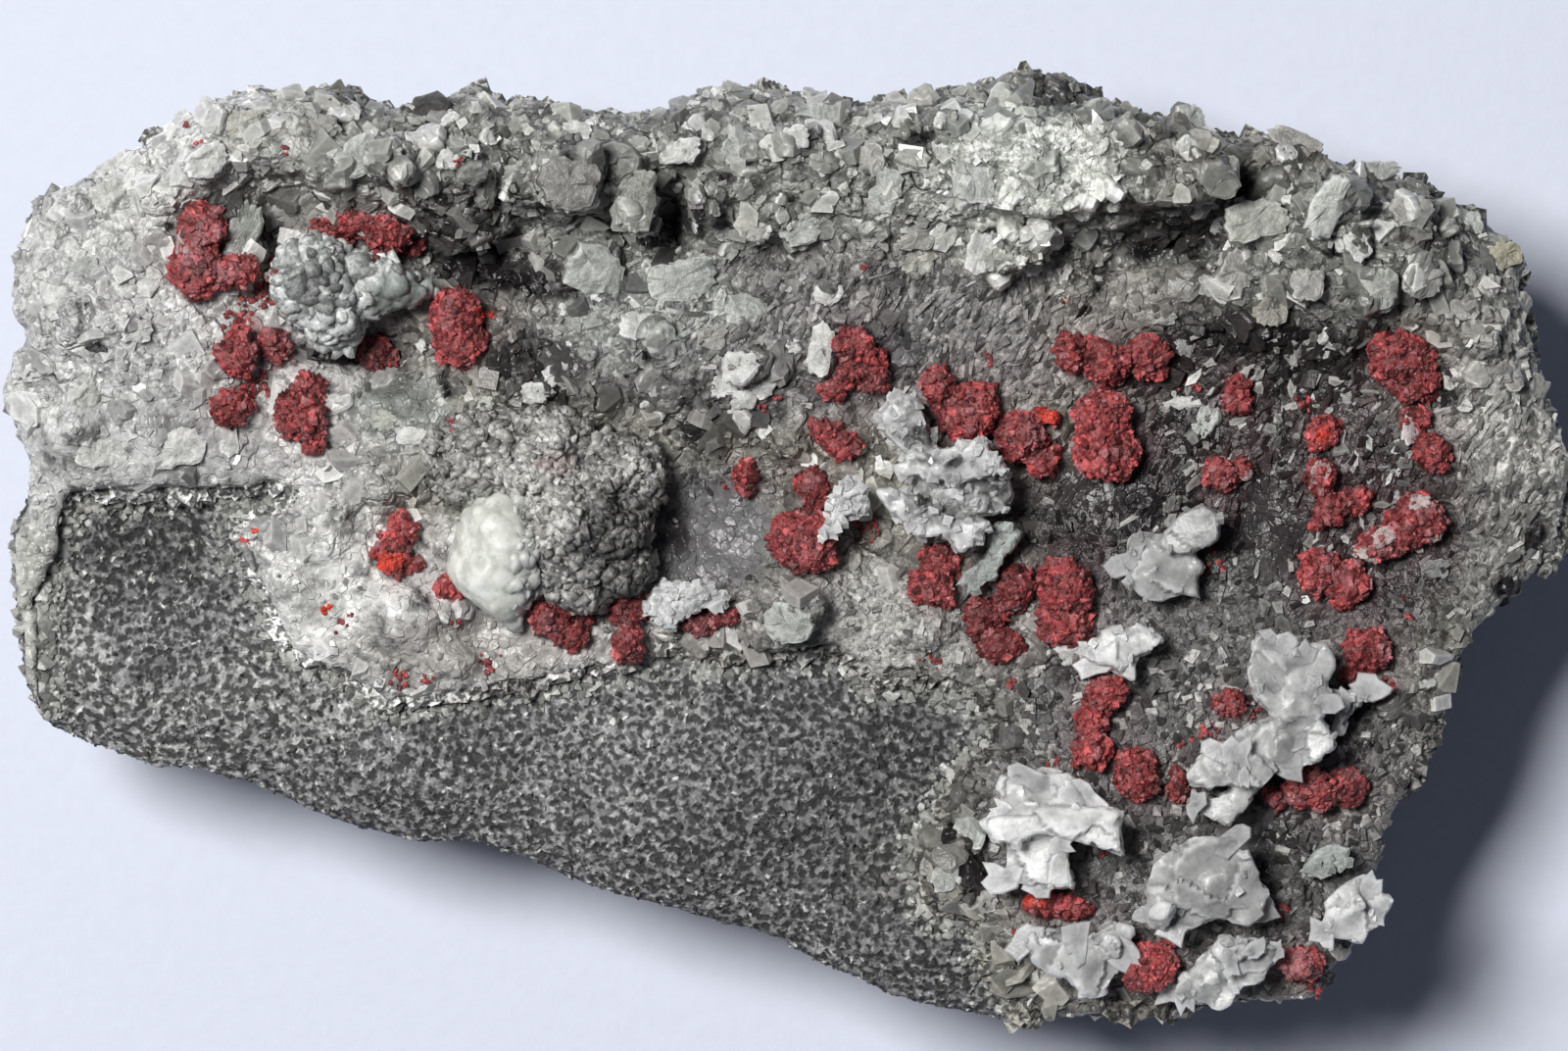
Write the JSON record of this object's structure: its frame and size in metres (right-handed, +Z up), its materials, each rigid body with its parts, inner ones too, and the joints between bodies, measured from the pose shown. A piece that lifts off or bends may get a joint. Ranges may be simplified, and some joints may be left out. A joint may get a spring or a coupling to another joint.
{
  "type": "cinnabar on matrix",
  "caption": "Hand specimen of grey sandstone with a pale druse crust, milky bladed crystals and small balls of red cinnabar on its upper face.",
  "frame": {"origin": "under the middle of the specimen, on the flat face that it rests on", "axes": "+X along the specimen's length, +Y across it towards the thick rim, +Z up"},
  "size_m": [0.09, 0.055, 0.0254],
  "materials": {
    "sandstone": "rough broken sandstone",
    "druse": "fine crystals, sugary",
    "milky_crystal": "translucent, vitreous",
    "cinnabar": "fine crystals, adamantine sparkle"
  },
  "bodies": {
    "root": {"matrix": "sandstone", "druse_crust": "druse", "grey_mound": "druse", "milky_lump": "milky_crystal", "cauliflower_lump": "druse", "white_blades": "milky_crystal", "white_tuft": "milky_crystal", "glass_plate": "milky_crystal", "milky_knot": "milky_crystal", "milky_flake": "milky_crystal", "blade_fan": "milky_crystal", "side_blades": "milky_crystal", "blade_spray": "milky_crystal", "rounded_blades": "milky_crystal", "lower_blades": "milky_crystal", "foot_blades": "milky_crystal", "corner_crystal": "milky_crystal", "clear_rhomb": "milky_crystal", "white_chunk": "milky_crystal", "cinnabar_01": "cinnabar", "cinnabar_02": "cinnabar", "cinnabar_03": "cinnabar", "cinnabar_04": "cinnabar", "cinnabar_05": "cinnabar", "cinnabar_06": "cinnabar", "cinnabar_07": "cinnabar", "cinnabar_08": "cinnabar", "cinnabar_09": "cinnabar", "cinnabar_10": "cinnabar", "cinnabar_11": "cinnabar", "cinnabar_12": "cinnabar", "cinnabar_13": "cinnabar", "cinnabar_14": "cinnabar", "cinnabar_15": "cinnabar", "cinnabar_16": "cinnabar", "cinnabar_17": "cinnabar", "cinnabar_18": "cinnabar", "cinnabar_19": "cinnabar", "cinnabar_20": "cinnabar", "cinnabar_21": "cinnabar", "cinnabar_22": "cinnabar", "cinnabar_23": "cinnabar", "cinnabar_24": "cinnabar", "cinnabar_25": "cinnabar", "cinnabar_26": "cinnabar", "cinnabar_27": "cinnabar", "cinnabar_28": "cinnabar", "cinnabar_29": "cinnabar", "cinnabar_30": "cinnabar", "cinnabar_31": "cinnabar", "cinnabar_32": "cinnabar", "cinnabar_33": "cinnabar", "cinnabar_34": "cinnabar", "cinnabar_35": "cinnabar", "cinnabar_36": "cinnabar", "cinnabar_37": "cinnabar", "cinnabar_38": "cinnabar", "cinnabar_39": "cinnabar", "cinnabar_40": "cinnabar"}
  },
  "joints": []
}
